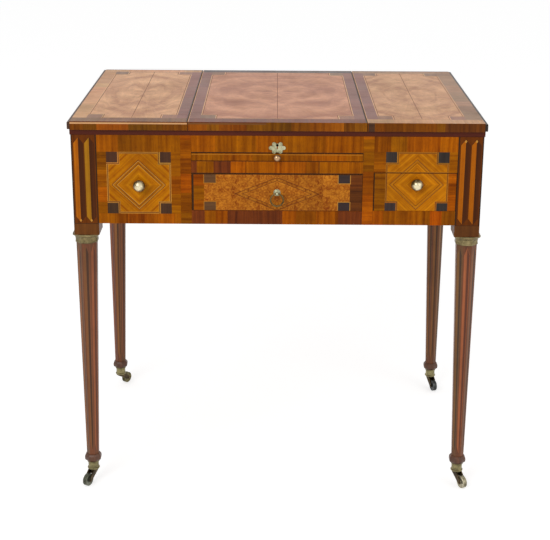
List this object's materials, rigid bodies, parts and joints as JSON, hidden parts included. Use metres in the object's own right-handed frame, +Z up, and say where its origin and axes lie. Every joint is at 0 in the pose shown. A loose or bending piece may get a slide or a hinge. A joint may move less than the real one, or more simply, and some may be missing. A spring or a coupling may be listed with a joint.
{
  "type": "dressing table",
  "caption": "Marquetry dressing table: mirror lid between side leaves over wells, writing slide and drawers in the frieze, octagonal tapered legs on casters.",
  "frame": {"origin": "centre of the bounding box in plan, on the floor", "axes": "+X along the width to the user's right, -Y out of the front, +Z up"},
  "size_m": [0.7544, 0.5146, 0.734],
  "materials": {
    "top_veneer": "satin polish over bookmatched veneer",
    "case_veneer": "satin polish over crossbanded veneer",
    "leg_wood": "satin polish",
    "dark_wood": "satin stained",
    "carcase_wood": "plain planed",
    "brass": "worn lacquer",
    "tarnished_brass": "dull, greenish tarnish",
    "steel": "dull",
    "mirror": "silvered",
    "leather": "worn, gilt tooled edge"
  },
  "bodies": {
    "case": {"leg_front_left": "leg_wood", "leg_front_right": "leg_wood", "leg_rear_left": "leg_wood", "leg_rear_right": "leg_wood", "leg_collars": "tarnished_brass", "toe_rings": "leg_wood", "caster_sockets": "tarnished_brass", "back_panel": "carcase_wood", "left_side_panel": "case_veneer", "right_side_panel": "case_veneer", "left_front_panel": "case_veneer", "right_front_rail": "case_veneer", "bottom_rails": "case_veneer", "lock_rail": "case_veneer", "slide_rail": "case_veneer", "left_partition": "case_veneer", "right_partition": "case_veneer", "bottom_board": "carcase_wood", "slide_bed": "carcase_wood", "well_floors": "carcase_wood", "drawer_runners": "carcase_wood", "drawer_kickers": "carcase_wood", "frieze_moulding": "dark_wood", "hinge_fixed_leaves": "brass", "hinge_pins": "steel", "lock_case": "steel", "escutcheon": "brass", "left_knob": "brass"},
    "left_flap": {"left_flap_board": "top_veneer", "left_flap_lipping": "dark_wood", "left_flap_hinge_leaves": "brass"},
    "right_flap": {"right_flap_board": "top_veneer", "right_flap_lipping": "dark_wood", "right_flap_hinge_leaves": "brass"},
    "centre_lid": {"lid_board": "top_veneer", "mirror_glass": "mirror", "mirror_bead": "dark_wood", "lid_hinge_leaves": "brass", "lid_strike": "brass"},
    "lock_bolt": {"lock_bolt": "steel"},
    "writing_slide": {"slide_board": "case_veneer", "slide_leather": "leather", "slide_knob": "brass"},
    "centre_drawer": {"centre_drawer_front": "case_veneer", "centre_drawer_box": "carcase_wood", "centre_drawer_bottom": "carcase_wood", "ring_mount": "brass"},
    "drawer_ring": {"drawer_ring": "brass"},
    "right_drawer": {"right_drawer_front": "case_veneer", "right_drawer_box": "carcase_wood", "right_drawer_bottom": "carcase_wood", "right_drawer_knob": "brass"},
    "caster_front_left": {"caster_fork_front_left": "tarnished_brass"},
    "wheel_front_left": {"caster_wheel_front_left": "tarnished_brass"},
    "caster_front_right": {"caster_fork_front_right": "tarnished_brass"},
    "wheel_front_right": {"caster_wheel_front_right": "tarnished_brass"},
    "caster_rear_left": {"caster_fork_rear_left": "tarnished_brass"},
    "wheel_rear_left": {"caster_wheel_rear_left": "tarnished_brass"},
    "caster_rear_right": {"caster_fork_rear_right": "tarnished_brass"},
    "wheel_rear_right": {"caster_wheel_rear_right": "tarnished_brass"}
  },
  "joints": [
    {"name": "left_flap_hinge", "type": "hinge", "parent": "case", "child": "left_flap", "pos_m": [-0.375, 0.00725, 0.7159], "axis": [0, -1, 0], "range_deg": [0, 180]},
    {"name": "right_flap_hinge", "type": "hinge", "parent": "case", "child": "right_flap", "pos_m": [0.375, 0.00725, 0.7159], "axis": [0, 1, 0], "range_deg": [0, 180]},
    {"name": "lid_hinge", "type": "hinge", "parent": "case", "child": "centre_lid", "pos_m": [0, 0.25575, 0.7159], "axis": [-1, 0, 0], "range_deg": [0, 100]},
    {"name": "lock_bolt_throw", "type": "slide", "parent": "case", "child": "lock_bolt", "axis": [0, 0, 1], "range_m": [0, 0.006]},
    {"name": "writing_slide_travel", "type": "slide", "parent": "case", "child": "writing_slide", "axis": [0, -1, 0], "range_m": [0, 0.23]},
    {"name": "centre_drawer_travel", "type": "slide", "parent": "case", "child": "centre_drawer", "axis": [0, -1, 0], "range_m": [0, 0.24]},
    {"name": "drawer_ring_swing", "type": "hinge", "parent": "centre_drawer", "child": "drawer_ring", "pos_m": [0, -0.24375, 0.60175], "axis": [-1, 0, 0], "range_deg": [-10, 85]},
    {"name": "right_drawer_travel", "type": "slide", "parent": "case", "child": "right_drawer", "axis": [0, -1, 0], "range_m": [0, 0.23]},
    {"name": "swivel_front_left", "type": "hinge", "parent": "case", "child": "caster_front_left", "pos_m": [-0.3575, -0.21325, 0.029], "axis": [0, 0, 1], "continuous": true},
    {"name": "roll_front_left", "type": "hinge", "parent": "caster_front_left", "child": "wheel_front_left", "pos_m": [-0.36658, -0.23107, 0.012], "axis": [-0.891, 0.454, 0], "continuous": true},
    {"name": "swivel_front_right", "type": "hinge", "parent": "case", "child": "caster_front_right", "pos_m": [0.3575, -0.21325, 0.029], "axis": [0, 0, 1], "continuous": true},
    {"name": "roll_front_right", "type": "hinge", "parent": "caster_front_right", "child": "wheel_front_right", "pos_m": [0.36627, -0.23123, 0.012], "axis": [-0.8988, -0.4384, 0], "continuous": true},
    {"name": "swivel_rear_left", "type": "hinge", "parent": "case", "child": "caster_rear_left", "pos_m": [-0.3575, 0.22775, 0.029], "axis": [0, 0, 1], "continuous": true},
    {"name": "roll_rear_left", "type": "hinge", "parent": "caster_rear_left", "child": "wheel_rear_left", "pos_m": [-0.34661, 0.24452, 0.012], "axis": [0.8387, -0.5446, 0], "continuous": true},
    {"name": "swivel_rear_right", "type": "hinge", "parent": "case", "child": "caster_rear_right", "pos_m": [0.3575, 0.22775, 0.029], "axis": [0, 0, 1], "continuous": true},
    {"name": "roll_rear_right", "type": "hinge", "parent": "caster_rear_right", "child": "wheel_rear_right", "pos_m": [0.36335, 0.20862, 0.012], "axis": [-0.9563, -0.2924, 0], "continuous": true}
  ]
}
